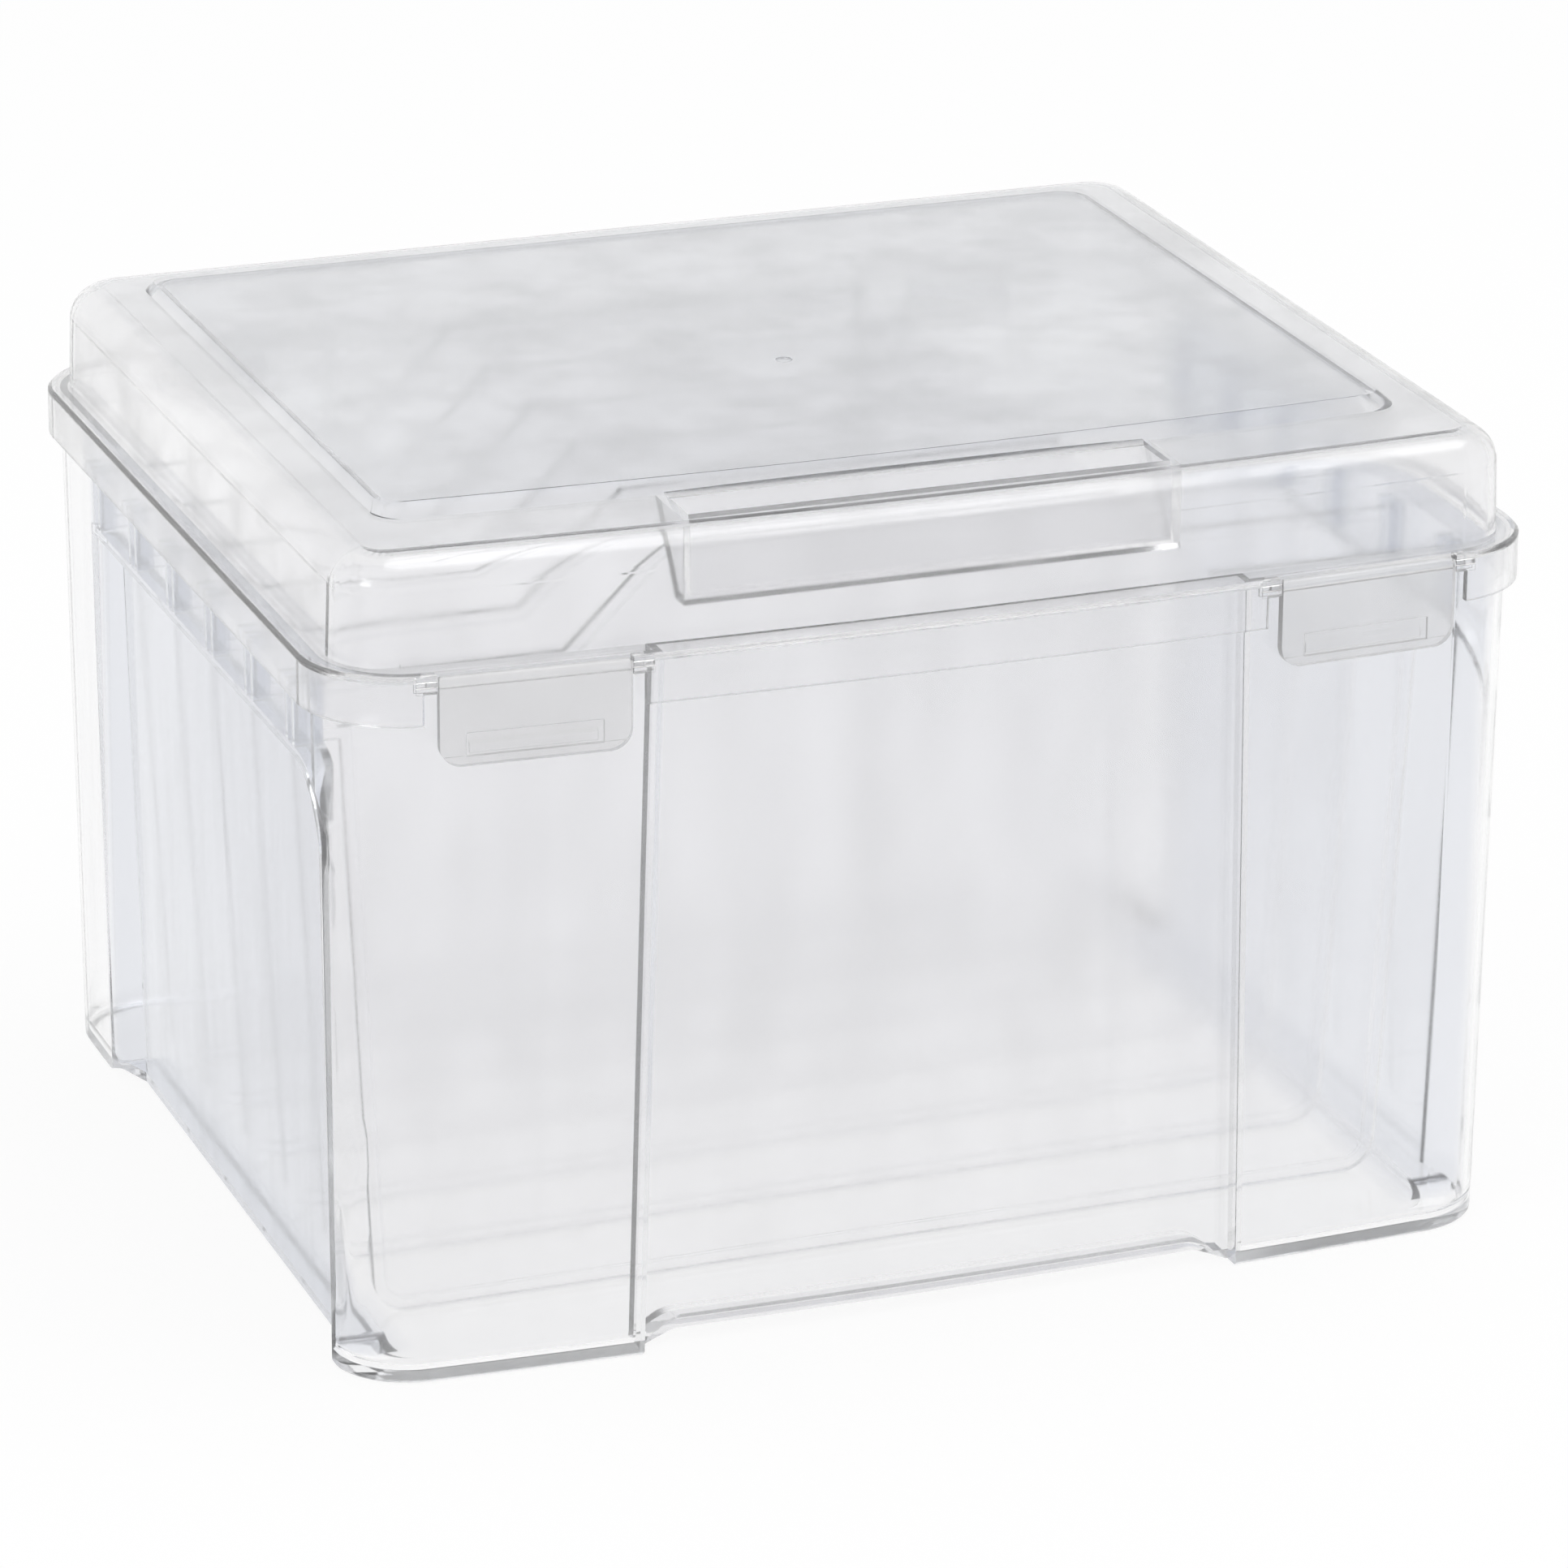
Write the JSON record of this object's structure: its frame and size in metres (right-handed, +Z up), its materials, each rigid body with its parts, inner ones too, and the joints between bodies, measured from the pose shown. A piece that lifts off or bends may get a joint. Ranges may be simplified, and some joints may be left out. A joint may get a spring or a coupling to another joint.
{
  "type": "photo storage case",
  "caption": "Clear lidded storage case with a hinged domed lid, snap latches and lift-out tabbed dividers for photos and craft parts.",
  "frame": {"origin": "centre of the bounding box on the plane that the four feet stand on", "axes": "+X along the width, to the right as seen from the latched front; +Y towards the hinges at the back; +Z up"},
  "size_m": [0.29, 0.255, 0.1949],
  "materials": {
    "clear_shell": "clear, slightly cool polypropylene with a glossy surface",
    "milky_latch": "milky translucent plastic, semi-gloss",
    "frosted_divider": "frosted translucent sheet with a denser beaded edge"
  },
  "bodies": {
    "base_bin": {"base_bin": "clear_shell"},
    "lid": {"lid": "clear_shell"},
    "latch_left": {"latch_left": "milky_latch"},
    "latch_right": {"latch_right": "milky_latch"},
    "divider_1": {"divider_1": "frosted_divider"},
    "divider_2": {"divider_2": "frosted_divider"},
    "divider_3": {"divider_3": "frosted_divider"},
    "divider_4": {"divider_4": "frosted_divider"},
    "divider_5": {"divider_5": "frosted_divider"},
    "divider_6": {"divider_6": "frosted_divider"}
  },
  "joints": [
    {"name": "lid_hinge", "type": "hinge", "parent": "base_bin", "child": "lid", "pos_m": [0, 0.1249, 0.1545], "axis": [-1, 0, 0], "range_deg": [0, 105]},
    {"name": "latch_left_hinge", "type": "hinge", "parent": "lid", "child": "latch_left", "pos_m": [-0.09854, -0.12394, 0.1666], "axis": [-0.9989, 0.0478, 0], "range_deg": [-2.5, 110]},
    {"name": "latch_right_hinge", "type": "hinge", "parent": "lid", "child": "latch_right", "pos_m": [0.09854, -0.12394, 0.1666], "axis": [-0.9989, -0.0478, 0], "range_deg": [-2.5, 110]},
    {"name": "divider_1_lift", "type": "slide", "parent": "base_bin", "child": "divider_1", "axis": [0, 0, 1], "range_m": [0, 0.01]},
    {"name": "divider_2_lift", "type": "slide", "parent": "base_bin", "child": "divider_2", "axis": [0, 0, 1], "range_m": [0, 0.01]},
    {"name": "divider_3_lift", "type": "slide", "parent": "base_bin", "child": "divider_3", "axis": [0, 0, 1], "range_m": [0, 0.01]},
    {"name": "divider_4_lift", "type": "slide", "parent": "base_bin", "child": "divider_4", "axis": [0, 0, 1], "range_m": [0, 0.01]},
    {"name": "divider_5_lift", "type": "slide", "parent": "base_bin", "child": "divider_5", "axis": [0, 0, 1], "range_m": [0, 0.01]},
    {"name": "divider_6_lift", "type": "slide", "parent": "base_bin", "child": "divider_6", "axis": [0, 0, 1], "range_m": [0, 0.01]}
  ]
}
